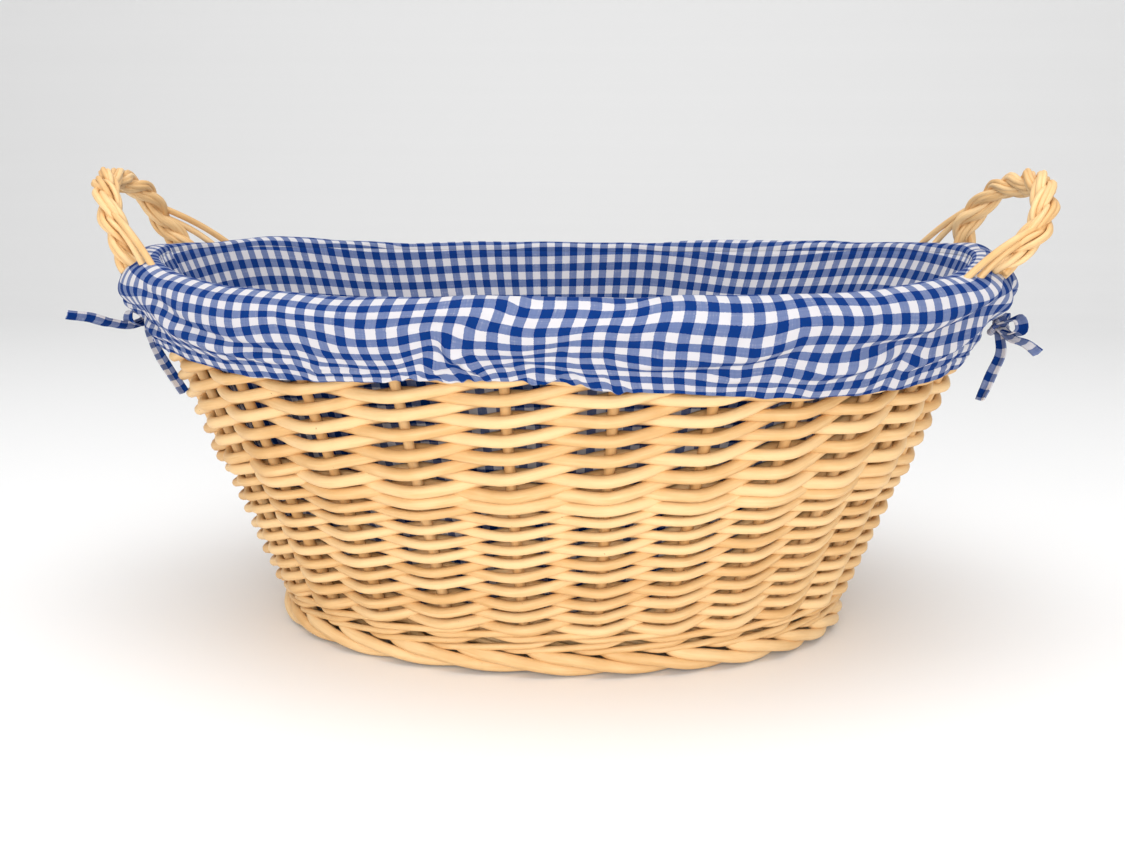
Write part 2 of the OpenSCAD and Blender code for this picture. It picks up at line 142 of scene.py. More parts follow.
def swept(route, radius, sides):
    """The points, sides and end faces of a rod, how far along it each ring is, and its sides."""
    route = np.asarray(route, float)
    count = len(route)
    radius = np.broadcast_to(radius, (count,))
    along = unit(np.gradient(route, axis=0))
    first = np.cross(along[0], [0.0, 0.0, 1.0])
    if np.linalg.norm(first) < 1e-3:
        first = np.cross(along[0], [1.0, 0.0, 0.0])
    one = np.empty_like(along)
    one[0] = unit(first)
    for i in range(1, count):
        turned = one[i - 1] - along[i] * (one[i - 1] @ along[i])
        one[i] = turned / max(np.linalg.norm(turned), 1e-12)
    two = np.cross(along, one)
    angle = (np.arange(sides) / sides * TURN)[None, :, None]
    ring = np.cos(angle) * one[:, None] + np.sin(angle) * two[:, None]
    points = route[:, None] + radius[:, None, None] * ring
    # A short step in at each end rounds off the cut.
    tip = 0.25 * radius[[0, -1]]
    ends = [route[0] - along[0] * tip[0], route[-1] + along[-1] * tip[1]]
    caps = [ends[k] + 0.7 * radius[-k] * ring[-k] for k in (0, 1)]
    points = np.concatenate([caps[0][None], points, caps[1][None]])
    rows = count + 2
    here = np.arange(rows - 1)[:, None] * sides + np.arange(sides)[None]
    side = np.arange(rows - 1)[:, None] * sides + (np.arange(sides)[None] + 1) % sides
    quads = np.stack([here, side, side + sides, here + sides], -1).reshape(-1, 4)
    length = np.concatenate([[0], np.cumsum(np.linalg.norm(np.diff(route, axis=0), axis=1))])
    length = np.concatenate([[length[0] - tip[0]], length, [length[-1] + tip[1]]])
    lids = [list(range(sides))[::-1], list(range((rows - 1) * sides, rows * sides))]
    return points.reshape(-1, 3), quads, lids, length, sides


def add_piece(name, points, faces, uv, material, nodes, shade=None):
    """Makes a mesh object with a texture map, joins it to the frame and hides the frame parts it replaces.
    """
    mesh = bpy.data.meshes.new(name)
    mesh.from_pydata(points.tolist(), [], faces)
    mesh.polygons.foreach_set("use_smooth", np.ones(len(faces), bool))
    corners = np.empty(len(mesh.loops), np.int32)
    mesh.loops.foreach_get("vertex_index", corners)
    layer = mesh.uv_layers.new(name="Flat")
    if len(uv) == len(points):
        uv = uv[corners]
    layer.data.foreach_set("uv", np.ascontiguousarray(uv, np.float32).ravel())
    if shade is not None:
        mesh.attributes.new("shade", "FLOAT", "POINT").data.foreach_set("value", shade.astype(np.float32))
    mesh.materials.append(material)
    mesh.update()
    piece = bpy.data.objects.new(name, mesh)
    bpy.context.collection.objects.link(piece)
    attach(piece, "root")
    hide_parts(*nodes)
    return piece


GRAIN_SHIFT = 3.1  # metres between the rods on the texture map, so no two have the same grain


def add_rods(name, rods, material, nodes, seed):
    """One piece from many rods. Each rod is its route, its radius and how many sides it has."""
    points, faces, uv, shade, start = [], [], [], [], 0
    shades = np.random.default_rng(seed).uniform(0, 1, len(rods))
    for k, rod in enumerate(rods):
        p, quads, lids, length, sides = swept(*rod)
        points.append(p)
        faces += (quads + start).tolist() + [[i + start for i in lid] for lid in lids]
        around = np.arange(sides) / sides
        row = np.arange(len(length) - 1)
        near, far = length[row] + GRAIN_SHIFT * k, length[row + 1] + GRAIN_SHIFT * k
        u = np.stack([near, near, far, far], -1)[:, None].repeat(sides, 1)
        v = np.stack([around, around + 1 / sides, around + 1 / sides, around], -1)[None].repeat(len(row), 0)
        uv.append(np.stack([u, v + k], -1).reshape(-1, 2))
        for end in (0, -1):
            uv.append(np.stack([np.full(sides, length[end] + GRAIN_SHIFT * k), around + k], -1))
        shade.append(np.full(len(p), shades[k]))
        start += len(p)
    add_piece(name, np.concatenate(points), faces, np.concatenate(uv), material, nodes,
              np.concatenate(shade))
    print(f"{name}: {len(rods)} rods, {len(faces)} faces")


# %% [markdown]
# ## A small helper for shader maths
#
# Building a material from nodes by hand takes many lines. `Wire` wraps one output socket, so that
# shader maths can be written like ordinary maths, and `Maker.node` adds any other node in one call.

# %% Shader helper
class Wire:
    """One output socket of a material, with ordinary arithmetic."""

    def __init__(self, maker, socket):
        self.maker, self.socket = maker, socket

    def _maths(self, operation, other, swap=False):
        left, right = (other, self) if swap else (self, other)
        return self.maker.node("ShaderNodeMath", {"operation": operation}, {0: left, 1: right})

    def __add__(self, other):
        return self._maths("ADD", other)

    def __radd__(self, other):
        return self._maths("ADD", other, True)

    def __sub__(self, other):
        return self._maths("SUBTRACT", other)

    def __rsub__(self, other):
        return self._maths("SUBTRACT", other, True)

    def __mul__(self, other):
        return self._maths("MULTIPLY", other)

    def __gt__(self, other):
        return self._maths("GREATER_THAN", other)

    def fraction(self):
        return self.maker.node("ShaderNodeMath", {"operation": "FRACT"}, {0: self})

    def sine(self):
        return self.maker.node("ShaderNodeMath", {"operation": "SINE"}, {0: self})

    def between(self, low, high):
        """0 below low, 1 above high, and smooth in between."""
        return self.maker.node("ShaderNodeMapRange", {"interpolation_type": "SMOOTHSTEP"},
                               {0: self, 1: low, 2: high})


class Maker:
    """Starts a material and adds nodes to it."""

    def __init__(self, name):
        self.material = bpy.data.materials.new(name)
        self.material.use_nodes = True
        self.tree = self.material.node_tree
        self.shader = self.tree.nodes["Principled BSDF"]

    def node(self, kind, settings=None, inputs=None, output=0):
        made = self.tree.nodes.new(kind)
        for key, value in (settings or {}).items():
            setattr(made, key, value)
        for key, value in (inputs or {}).items():
            self.put(made.inputs[key], value)
        return Wire(self, made.outputs[output])

    def put(self, socket, value):
        if isinstance(value, Wire):
            self.tree.links.new(value.socket, socket)
        else:
            socket.default_value = value

    def set(self, **inputs):
        for key, value in inputs.items():
            self.put(self.shader.inputs[key.replace("_", " ")], value)

    def flat_map(self, x=1.0, y=1.0):
        """The texture map, scaled, and its two parts."""
        uv = self.node("ShaderNodeUVMap", {"uv_map": "Flat"})
        scaled = self.node("ShaderNodeVectorMath", {"operation": "MULTIPLY"}, {0: uv, 1: (x, y, 1.0)})
        parts = self.tree.nodes.new("ShaderNodeSeparateXYZ")
        self.put(parts.inputs[0], scaled)
        return scaled, Wire(self, parts.outputs[0]), Wire(self, parts.outputs[1])

    def noise(self, vector, scale, detail=2.0, rough=0.5):
        return self.node("ShaderNodeTexNoise", None,
                         {"Vector": vector, "Scale": scale, "Detail": detail, "Roughness": rough})

    def mix(self, share, low, high):
        made = self.tree.nodes.new("ShaderNodeMix")
        made.data_type = "RGBA"
        self.put(made.inputs[0], share)
        self.put(made.inputs[6], low)
        self.put(made.inputs[7], high)
        return Wire(self, made.outputs[2])

    def bump(self, height, distance, strength):
        return self.node("ShaderNodeBump", None,
                         {"Height": height, "Distance": distance, "Strength": strength})


# %% [markdown]
# ## Peeled willow
#
# Buff willow is boiled and peeled, which stains it from cream to tan. The colour runs in long fine
# streaks along each rod, each rod has its own shade, and here and there a bud has left a brown speck.
# The texture map runs along the rod, so stretching a noise along it gives the streaks.

# %% Willow material
def willow(name, pale, deep, darker=0.0):
    make = Maker(name)
    streak_map, _, _ = make.flat_map(30.0, 9.0)
    patch_map, _, _ = make.flat_map(55.0, 1.5)
    speck_map, _, _ = make.flat_map(330.0, 3.0)
    streaks = make.noise(streak_map, 1.0, 4.0, 0.65)
    patches = make.noise(patch_map, 1.0, 2.0)
    shade = make.node("ShaderNodeAttribute", {"attribute_name": "shade"}, output=2)
    tone = (streaks - 0.5) * 0.9 + (patches - 0.5) * 0.8 + (shade - 0.5) * 0.55 + 0.42 + darker
    body = make.mix(tone.between(0.05, 1.0), pale, deep)
    bud = make.noise(speck_map, 1.0, 2.0, 0.6).between(0.73, 0.79)
    colour = make.mix(bud * 0.75, body, (0.16, 0.055, 0.018, 1))
    make.set(Base_Color=colour, Roughness=0.44 + streaks * 0.16, Specular_IOR_Level=0.42,
             Normal=make.bump(streaks * 0.8 + bud * -0.6, 0.00035, 0.55))
    return make.material


WILLOW_PALE = (0.84, 0.575, 0.29, 1)
WILLOW_DEEP = (0.66, 0.38, 0.145, 1)
willow_pale = willow("peeled_willow_pale", WILLOW_PALE, WILLOW_DEEP)
willow_thick = willow("peeled_willow_thick", WILLOW_PALE, WILLOW_DEEP, 0.03)
willow_dark = willow("peeled_willow_stained", WILLOW_PALE, WILLOW_DEEP, 0.22)
print("willow materials:", willow_pale.name, willow_thick.name, willow_dark.name)

# %% [markdown]
# ## Checked cotton
#
# Gingham is plain weave. Bands of blue and white warp cross bands of blue and white weft. The map is
# in metres of flat cloth, so each check keeps its own size wherever the cloth goes.

# %% Cotton material
CHECK = 0.00535  # metres


def gingham(name):
    make = Maker(name)
    _, across, along = make.flat_map(1 / (2 * CHECK), 1 / (2 * CHECK))
    thread_map, x_thread, y_thread = make.flat_map(2600.0, 2600.0)
    warp_map, _, _ = make.flat_map(900.0, 40.0)
    weft_map, _, _ = make.flat_map(40.0, 900.0)
    edge = make.noise(thread_map, 0.35, 2.0)
    wobble = (edge - 0.5) * 0.05
    warp = (across + wobble).fraction() > 0.5
    weft = (along + wobble).fraction() > 0.5
    slub_x, slub_y = make.noise(warp_map, 1.0, 3.0), make.noise(weft_map, 1.0, 3.0)
    share = (warp + weft) * 0.5
    half = share * (1 - share) * 4
    mixed = share + half * ((slub_x + slub_y) * 0.5 - 0.5) * 0.9 + (edge - 0.5) * 0.10
    white, pale, blue = (0.60, 0.58, 0.60, 1), (0.135, 0.175, 0.32, 1), (0.0, 0.027, 0.165, 1)
    low = make.mix(mixed.between(0.0, 0.5), white, pale)
    colour = make.mix(mixed.between(0.5, 1.0), low, blue)
    threads = (x_thread * 6.283).sine() * 0.5 + (y_thread * 6.283).sine() * 0.5
    relief = make.bump(threads * 0.3 + slub_x + slub_y, 0.00018, 0.5)
    make.set(Base_Color=colour, Roughness=0.85, Specular_IOR_Level=0.12, Normal=relief,
             Subsurface_Weight=0.35, Subsurface_Scale=0.0012, Subsurface_Radius=(1.0, 1.0, 1.0))
    return make.material


checked_cotton = gingham("checked_cotton")
print("cotton material:", checked_cotton.name)

# %% [markdown]
# ## The base
#
# An oval base starts from short sticks, split in the middle, with long sticks pushed through the
# splits. Weavers then go round and round, over one stick and under the next, and each row goes under
# where the last went over. The stakes are cut to a point and pushed in beside the sticks.

# %% Base sticks and base weave
BASE_MIDDLE = 0.0175
CROSS_STEP, LONG_STEP = 0.026, 0.022  # from one stick to the next
BASE_ROUNDS, ROUND_STEP = 26, 0.0033


def straight_rod(start, end, radius, seed):
    share = np.linspace(0, 1, 24)[:, None]
    route = np.asarray(start)[None] * (1 - share) + np.asarray(end)[None] * share
    route[:, 2] += 0.0006 * wave(share[:, 0] * 3 + seed, 5)
    return route, radius * (1 + 0.05 * wave(share[:, 0] * 4 + seed, 6)), 10


reach_x, reach_y = (half - 0.031 for half in semi_axes(BASE_MIDDLE))
cross_sticks, long_sticks = [], []
for k in range(-3, 4):
    x = k * CROSS_STEP
    half = reach_y * np.sqrt(1 - (x / reach_x) ** 2)
    cross_sticks.append(straight_rod((x, -half, BASE_MIDDLE), (x, half, BASE_MIDDLE), 0.003, k + 10))
for k in (-1, 0, 1):
    y = k * LONG_STEP
    half = reach_x * np.sqrt(1 - (y / reach_y) ** 2)
    long_sticks.append(straight_rod((-half, y, BASE_MIDDLE), (half, y, BASE_MIDDLE), 0.0016, k + 20))
add_rods("base_cross_sticks", cross_sticks, willow_dark, ["base_cross_sticks"], 1)
add_rods("base_long_sticks", long_sticks, willow_pale, ["base_long_sticks"], 2)

base_rods = []
edge_x, edge_y = (half - 0.0045 for half in semi_axes(BASE_MIDDLE))
for k in range(BASE_ROUNDS):
    inset = (k + 0.5) * ROUND_STEP
    a, b = edge_x - inset, max(edge_y - inset, 0.003)
    turn = np.linspace(0, TURN, 420, endpoint=False)
    side = np.cos(turn * STAKES / 2 + np.pi * k)
    route = np.stack([a * np.cos(turn), b * np.sin(turn), BASE_MIDDLE + 0.0028 * side], -1)
    route = np.concatenate([route, route[:3]])
    base_rods.append((route, 0.0017 * (1 + 0.08 * wave(np.arange(len(route)) / 25 + 9 * k, 7)), 7))
add_rods("base_weave", base_rods, willow_pale, ["base_weave"], 3)

# %% [markdown]
# ## Stakes
#
# Each stake is one rod. Its butt lies flat in the base, then it bends up at the edge and leans out
# with the wall. They are the bones of the basket, and show as short upright bars between the weavers.

# %% Stakes
stakes = []
for i in range(STAKES):
    t = stake_turn(i)
    heights = np.concatenate([[BASE_MIDDLE] * 5, np.linspace(BASE_MIDDLE + 0.003, 0.197, 60)])
    pushed = np.concatenate([np.linspace(-0.026, -0.002, 5), np.zeros(60)])
    a, b = semi_axes(BASE_MIDDLE)
    inward = unit(np.array([np.cos(t) * b, np.sin(t) * a, 0.0]))
    route = wall(t + 0.0016 * wave(heights * 30 + 7 * i, 8), heights, 0.0)
    route[:5] = wall(t, BASE_MIDDLE, 0.0) + pushed[:5, None] * inward
    radius = STAKE_D / 2 * (1.04 - 0.6 * (heights - 0.1) + 0.04 * wave(heights * 90 + 5 * i, 9))
    radius[:5] *= np.linspace(0.5, 0.95, 5)
    stakes.append((route, radius, 12))
add_rods("stakes", stakes, willow_dark, ["stakes"], 4)

# %% [markdown]
# ## Randing the wall
#
# The wall is French randed. One weaver starts in every space, and each is worked one stroke at a time,
# in front of a stake and behind the next. So every weaver climbs by half a row at each stake, and all
# of them together make level rows. `step` counts the stakes that a weaver has passed since its start:
# it is in front of the odd ones and behind the even ones.

# %% The randed bands
STROKE = 12  # points on a weaver for each stake it passes


def kinked(swing, sharp):
    """Turns a smooth swing into nearly straight runs with a bend at each end."""
    return np.arcsin(sharp * swing) / np.arcsin(sharp)


def randed(low, pitch, first, last, diameter, seed):
    """All the weavers of one band. low is the height of a weaver at its first front stroke."""
    reach = (STAKE_D + diameter) / 2 + 0.0001
    rods = []
    for j in range(STAKES):
        start = first + 0.12 * wave(j * 3.7, seed)
        end = last + 0.12 * wave(j * 5.3, seed + 1)
        step = np.arange(start, end, 1 / STROKE)
        swing = np.cos(np.pi * (step - 1))
        bow = reach * kinked(swing, 0.90)
        out = bow * (1 + 0.07 * wave(step * 0.5 + 11 * j, seed + 2)) + 0.0003 * (swing > 0)
        # The maker beats each stroke down in front of its stake, so it stands higher behind the next.
        beaten = 0.04 * pitch * (1 - kinked(swing, 0.985)) * ease(step, -1.0, 1.0)
        climb = np.where(step > 1, 0.5, 0.3) * (step - 1) * pitch
        lift = 0.0006 * wave(step * 0.8 + 17 * j, seed + 3) + 0.0003 * wave(step * 2.1 + 5 * j, seed + 4)
        radius = diameter / 2 * (1.10 - 0.15 * (step - start) / (end - start))
        radius = radius * (1 + 0.05 * wave(step * 0.7 + 23 * j, seed + 5))
        rods.append((wall(stake_turn(j + step), low + climb + beaten + lift, out), radius, 10))
    return rods


add_rods("lower_weave", randed(0.0290, 0.0081, -0.4, 18.25, THIN_D, 30), willow_pale,
         ["lower_weave"], 5)
add_rods("upper_weave", randed(0.1078, 0.0102, -2.0, 16.3, THICK_D, 40), willow_thick,
         ["upper_weave"], 6)

# %% [markdown]
# ## The wale
#
# Three weavers are worked together round the bottom of the wall, each in front of two stakes and behind
# one. This rope-like band is what bends the stakes up and holds them apart. A weaver comes out under
# the other two, climbs over them as it passes in front, and goes back in above them.

# %% The wale
def waled(low, pitch, rounds, diameter, seed):
    """Three weavers of a few rounds. They start, step up and end at the back."""
    rods = []
    reach = (STAKE_D + diameter) / 2
    back = STAKES // 4
    for w in range(3):
        s = np.arange(w - 3, rounds * STAKES + w, 1 / 10)
        phase = (s - w) % 3
        front = ease(phase, 0.25, 0.95) * (1 - ease(phase, 2.05, 2.75))
        out = reach * (2 * front - 1) + 0.0004 * wave(s * 0.9 + 40 * w, seed)
        climb = np.where(phase < 0.6, 0.0, np.clip((phase - 0.5) / 2, 0, 1)) - 0.5
        back_down = 1 - ease(phase, 2.5, 3.0)
        climb = np.where(phase > 2.5, 0.5 * (2 * back_down - 1), climb)
        level = s / STAKES
        whole = np.floor(level)
        step = np.clip(whole + ease(level - whole, 0.86, 1.0), 0, int(rounds))
        height = low + pitch * step + 2 * diameter * climb * 0.92
        height = height + 0.0005 * wave(s * 0.7 + 9 * w, seed + 1)
        rods.append((wall(stake_turn(s + back), height, out),
                     diameter / 2 * (1 + 0.07 * wave(s * 0.3 + 31 * w, seed + 2)), 10))
    return rods


add_rods("upsett_wale", waled(0.0175, 0.0072, 1.85, 0.0036, 50), willow_pale, ["upsett_wale"], 7)

# %% [markdown]
# ## The rolled borders
#
# At the foot a thick rod comes down beside every stake and is laid to the right in front of its
# neighbours, then tucked in underneath. The rim is the same idea upside down, with the stakes' own
# ends. A border path is a few points in stake spaces, height and distance out, joined smoothly.

# %% Borders at the foot and the rim
def smooth_path(keys, count):
    """A smooth line through rows of values, evenly spread along their first column."""
    keys = np.asarray(keys, float)
    x = np.linspace(keys[0, 0], keys[-1, 0], count)
    slopes = np.gradient(keys[:, 1:], keys[:, 0], axis=0)
    k = np.clip(np.searchsorted(keys[:, 0], x) - 1, 0, len(keys) - 2)
    h = (keys[k + 1, 0] - keys[k, 0])[:, None]
    s = ((x - keys[k, 0])[:, None]) / h
    y0, y1, m0, m1 = keys[k, 1:], keys[k + 1, 1:], slopes[k] * h, slopes[k + 1] * h
    blend = (2 * s**3 - 3 * s**2 + 1) * y0 + (s**3 - 2 * s**2 + s) * m0
    return x, blend + (-2 * s**3 + 3 * s**2) * y1 + (s**3 - s**2) * m1


def border(keys, diameter, seed, count=70, uneven=0.0008, level=False):
    x, shape = smooth_path([[k[0], k[1] / 1000, k[2] / 1000] for k in keys], count)
    rods = []
    for i in range(STAKES):
        height = shape[:, 0] + uneven * wave(x * 1.1 + 13 * i, seed)
        out = shape[:, 1] + 0.7 * uneven * wave(x * 1.3 + 19 * i, seed + 1)
        size = diameter / 2 * (1.08 + 0.08 * wave(np.array([i * 1.7]), seed + 2)[0] - 0.07 * x)
        route = wall(stake_turn(i + x), height, out, level)
        rods.append((route, size * (1 + 0.04 * wave(x * 3 + 7 * i, 3)), 12))
    return rods


foot_keys = [(0.0, 17, 0.5), (0.14, 13.0, 3.0), (0.34, 11.6, 5.6), (0.7, 9.8, 7.4), (1.1, 7.2, 8.4),
             (1.5, 5.0, 7.6), (2.0, 4.3, 3.2), (2.4, 4.3, -3.0)]
add_rods("foot_border", border(foot_keys, 0.0064, 60, uneven=0.0005, level=True), willow_thick,
         ["foot_border"], 8)
rim_keys = [(0.0, 184, 0.0), (0.12, 191.5, -0.6), (0.5, 195.5, -3.2), (1.0, 196.8, -5.0), (1.5, 197.2, -1.0),
            (2.0, 196.0, 4.0), (3.0, 192.5, 6.4), (3.5, 191.4, 2.0), (3.9, 191.0, -3.0)]
add_rods("rim_border", border(rim_keys, 0.0042, 70, 90, 0.0005), willow_dark, ["rim_border"], 9)

# %% [markdown]
# ## Roped handles
#
# Each handle is a thick bow pushed down beside two stakes, then wrapped from end to end with a rope of
# thin rods. Three bundles turn round the bow as they follow it, and the rods in each bundle turn round
# each other, so the rope has the twist and the hollows of the real thing.

# %% Handles
LEAN = np.radians(29)
ARCH_UP = np.array([np.sin(LEAN), 0, np.cos(LEAN)])
BUNDLES, BUNDLE_RODS = 3, 5
BUNDLE_TWIST, ROD_TWIST = 0.048, 0.10  # metres along the bow for one whole turn
leg_turn = -stake_turn(1)
beside = 0.0063 * np.array([-0.337, -0.941, 0])
leg_foot = wall(leg_turn, 0.107, 0.0015) + beside
leg_top = wall(leg_turn, 0.203, 0.0015) + beside
arch_foot = leg_top + np.array([0.0062, 0.0, 0.005])
ARCH_R = -arch_foot[1]


def arch_line(skew, crown, count=120):
    """The middle of the right handle from the front leg, over the top and down the back leg."""
    angle = np.linspace(0, np.pi, count)
    rise = 0.006 + (ARCH_R + crown) * np.sin(angle) ** 0.93
    top = np.array([arch_foot[0], 0, arch_foot[2]]) + rise[:, None] * ARCH_UP
    top[:, 1] -= ARCH_R * np.cos(angle)
    share = np.linspace(0, 1, 6, endpoint=False)[:, None]
    front = arch_foot * (1 - share) + (arch_foot + 0.006 * ARCH_UP) * share
    route = np.concatenate([front, top, (front * [1, -1, 1])[::-1]])
    route[:, 0] += skew * route[:, 1] * ease(route[:, 2], 0.207, 0.232)
    return route


def even_spacing(route, gap):
    length = np.concatenate([[0], np.cumsum(np.linalg.norm(np.diff(route, axis=0), axis=1))])
    at = np.linspace(0, length[-1], max(4, int(length[-1] / gap)))
    return np.stack([np.interp(at, length, route[:, k]) for k in range(3)], -1), at


def across(middle, turn, reach):
    """Points beside a line, at an angle round it and a distance from it."""
    along = unit(np.gradient(middle, axis=0))
    side = unit(np.cross(along, [np.cos(LEAN), 0, -np.sin(LEAN)]))
    other = np.cross(along, side)
    return middle + reach[:, None] * (np.cos(turn)[:, None] * side + np.sin(turn)[:, None] * other)


for end, seed, skew, crown in (("right", 80, -0.26, 0.001), ("left", 90, 0.06, 0.003)):
    flip = np.array([1 if end == "right" else -1, 1, 1])
    middle, at = even_spacing(arch_line(skew, crown), 0.0013)
    middle = middle + 0.0013 * np.stack([wave(at * 45, seed + k) for k in range(3)], -1)
    share = np.linspace(0, 1, 40, endpoint=False)[:, None]
    leg = leg_foot * (1 - share) + leg_top * share
    bow = np.concatenate([leg, middle, (leg * [1, -1, 1])[::-1]]) * flip
    taper = np.clip(np.minimum(np.arange(len(bow)), np.arange(len(bow))[::-1]) / 60, 0, 1)
    add_rods(f"{end}_handle_bow", [(bow, 0.0029 + 0.0003 * taper, 12)], willow_dark,
             [f"{end}_handle_bow"], seed)
    strands = []
    for bundle in range(BUNDLES):
        turn = at / BUNDLE_TWIST * TURN + bundle * TURN / BUNDLES
        turn = turn + 0.25 * wave(at * 30 + 9 * bundle, seed + 4)
        centre = across(middle, turn, 0.0038 + 0.0005 * wave(at * 50 + 5 * bundle, seed + 5))
        for rod in range(BUNDLE_RODS):
            spin = rod * TURN / BUNDLE_RODS - at / ROD_TWIST * TURN
            spin = spin + 0.6 * wave(at * 35 + 7 * rod + bundle, seed + 6)
            route = across(centre, spin, 0.0021 + 0.0006 * wave(at * 60 + 11 * rod, seed + 7))
            size = 0.0017 * (1 + 0.20 * wave(at * 28 + 7 * bundle + 3 * rod, seed + 8))
            strands.append((route * flip, size, 8))
    # The last rods of the rope slant away from its foot and are pushed down into the border.
    for side in (-1, 1):
        for k in range(2):
            low = wall(side * (0.43 + 0.06 * k), 0.201, 0.002 - 0.003 * k)
            high = middle[20 + 6 * k if side < 0 else -21 - 6 * k] + np.array([-0.003, side * 0.003, 0.0])
            share = np.linspace(0, 1, 20)[:, None]
            route = low * (1 - share) + high * share
            route[:, 2] += 0.003 * np.sin(np.pi * share[:, 0])
            strands.append((route * flip, 0.0019 + 0 * share[:, 0], 8))
    add_rods(f"{end}_handle_rope", strands, willow_thick, [f"{end}_handle_rope"], seed + 1)
print("arch radius:", round(float(ARCH_R), 4), "foot of the arch", [round(float(c), 4) for c in arch_foot])

# %% [markdown]
# ## The liner
#
# The liner is thin cotton. Its floor and wall line the inside, and a skirt turns over the rim and hangs
# outside, where a drawstring in the hem pulls it in. Each part is a grid of points whose texture map is
# the flat cloth before sewing, so the checks bend and crowd exactly where the cloth does.

# %% Cloth sheets
def grid_faces(rows, columns, start=0):
    """The faces between the points of a grid, whose first point has the number start."""
    here = np.arange(rows - 1)[:, None] * columns + np.arange(columns - 1)[None] + start
    return np.stack([here, here + 1, here + columns + 1, here + columns], -1).reshape(-1, 4).tolist()


def thicken(piece, thickness):
    solid = piece.modifiers.new("Thickness", "SOLIDIFY")
    solid.thickness, solid.offset = thickness, 0.0


def cloth(name, points, flat_map, nodes, thickness, size,
          area=None):
    """A sheet from a grid of points and the flat position of each, both as rows by columns."""
    rows, columns = points.shape[:2]
    piece = add_piece(name, points.reshape(-1, 3), grid_faces(rows, columns), flat_map.reshape(-1, 2),
                      checked_cotton, nodes)
    thicken(piece, thickness)
    print(f"{name}: {rows} x {columns} points, flat {size[0]:.3f} x {size[1]:.3f} m")


def rim_distance(t):
    """How far round the rim each angle is, in metres of cloth."""
    fine = np.linspace(-TURN, TURN, 4001)
    a, b = semi_axes(BORDER_TOP)
    speed = np.hypot((a + 0.006) * np.sin(fine), (b + 0.006) * np.cos(fine))
    length = np.concatenate([[0], np.cumsum((speed[1:] + speed[:-1]) / 2 * np.diff(fine))])
    return np.interp(t, fine, length)


def crease(x, y, seed):
    """Sharp-topped folds: smooth noise, bent where it passes through its middle."""
    return 1 - 2.2 * np.abs(field(x, y, seed))


LINER_TOP, LINER_OUT = 0.1975, -0.0089  # where the lining turns into the skirt
LINER_BOTTOM = 0.0243
LINING_THICKNESS, SKIRT_THICKNESS = 0.0004, 0.0005


def rim_rise(t):
    """The cloth stands up higher round the handles, and more gradually along the back."""
    towards_end = np.abs(np.cos(t))
    return 0.0105 * np.where(np.sin(t) > 0, towards_end ** 2.2, towards_end ** 9)


def lining_fold(run, depth):
    """How far the lining stands in from the wall, at a place round it and a depth below the rim."""
    lean = run + 0.25 * depth + 0.010 * field(run * 6, depth * 9, 106)
    broad = ease(field(lean * 13, depth * 5, 101), -0.8, 0.9)
    sharp = np.clip(crease(lean * 17, depth * 9 + run * 2, 102), 0, 1)
    return (0.15 + ease(depth, 0.0, 0.04) * ease(depth, 0.175, 0.13)) * (0.0036 * broad + 0.0018 * sharp)


def lining_sway(run, depth):
    return 0.004 * field(run * 12, depth * 14, 103), 0.004 * field(run * 11, depth * 13, 104)


def liner_wall():
    turn = np.linspace(-np.pi / 2, 1.5 * np.pi, 900)
    t, v = np.meshgrid(turn, np.linspace(0, 1, 70), indexing="ij")
    run = rim_distance(t)
    wrapped = rim_distance((t + np.pi) % TURN - np.pi)  # the same on both sides of the seam
    depth = v * (LINER_TOP - LINER_BOTTOM)
    out = LINER_OUT - lining_fold(wrapped, depth)
    sway_x, sway_y = lining_sway(wrapped, depth)
    lining = wall(t, LINER_TOP + rim_rise(t) * (1 - v) ** 2 - depth, out)
    slanting = 1.09 * depth  # the wall leans, so the cloth is longer than it is deep
    cloth("liner_wall", lining, np.stack([run + sway_x, sway_y - slanting], -1), ["liner_wall"],
          LINING_THICKNESS, (1.30, 0.195))


def liner_floor():
    r, t = np.meshgrid(np.linspace(0.001, 1, 44), np.linspace(0, TURN, 240), indexing="ij")
    a, b = (half - 0.0075 for half in semi_axes(0.0245))
    x, y = r * a * np.cos(t), r * b * np.sin(t)
    points = np.stack([x, y, 0.0238 + 0.0006 * field(x * 60, y * 60, 105)], -1)
    cloth("liner_floor", points, np.stack([x, y], -1), ["liner_floor"], LINING_THICKNESS,
          (float(2 * a), float(2 * b)), area=float(np.pi * a * b))


liner_wall()
liner_floor()

# %% [markdown]
# ## The skirt
#
# The skirt's path goes up the inside of the rim, over the border and down outside, where it puffs out
# before the drawstring pulls it in at the hem. Folds run along the puff, small puckers rise from the
# hem, and long creases are pulled towards the ties at both ends.

# %% Skirts
SKIRT_LENGTH = 0.076  # metres of cloth from the inner edge to the hem
SKIRT_DROP = 0.075  # metres for one whole share of the way down, where the folds are placed
SKIRT_CLEARANCE = 0.0101  # from the middle of the stakes, just outside the weavers
HEM_LEVEL = 0.166
# Each row is a share of the way along the skirt, then height and distance out in millimetres.
skirt_keys = [(0.0, 197.5, -8.9), (0.10, 201.6, -8.3), (0.20, 204.3, -2.8), (0.30, 203.6, 5.0),
              (0.42, 199.0, 10.8), (0.58, 189.5, 13.2), (0.78, 177.5, 12.4), (0.92, 169.5, 9.4),
              (1.0, 166.0, 9.6)]
# The hem's height in millimetres at a few angles in degrees.
front_hem = [(-180, 174), (-160, 171), (-142, 167.5), (-130, 164.5), (-118, 166), (-110, 170),
             (-103, 168.5), (-98, 172), (-89, 171), (-80, 167), (-68, 163.5), (-58, 159.5), (-45, 158),
             (-32, 159.5), (-20, 165), (0, 174)]
back_hem = [(0, 174), (20, 168), (50, 164), (80, 167), (110, 165), (140, 165), (160, 170), (180, 174)]
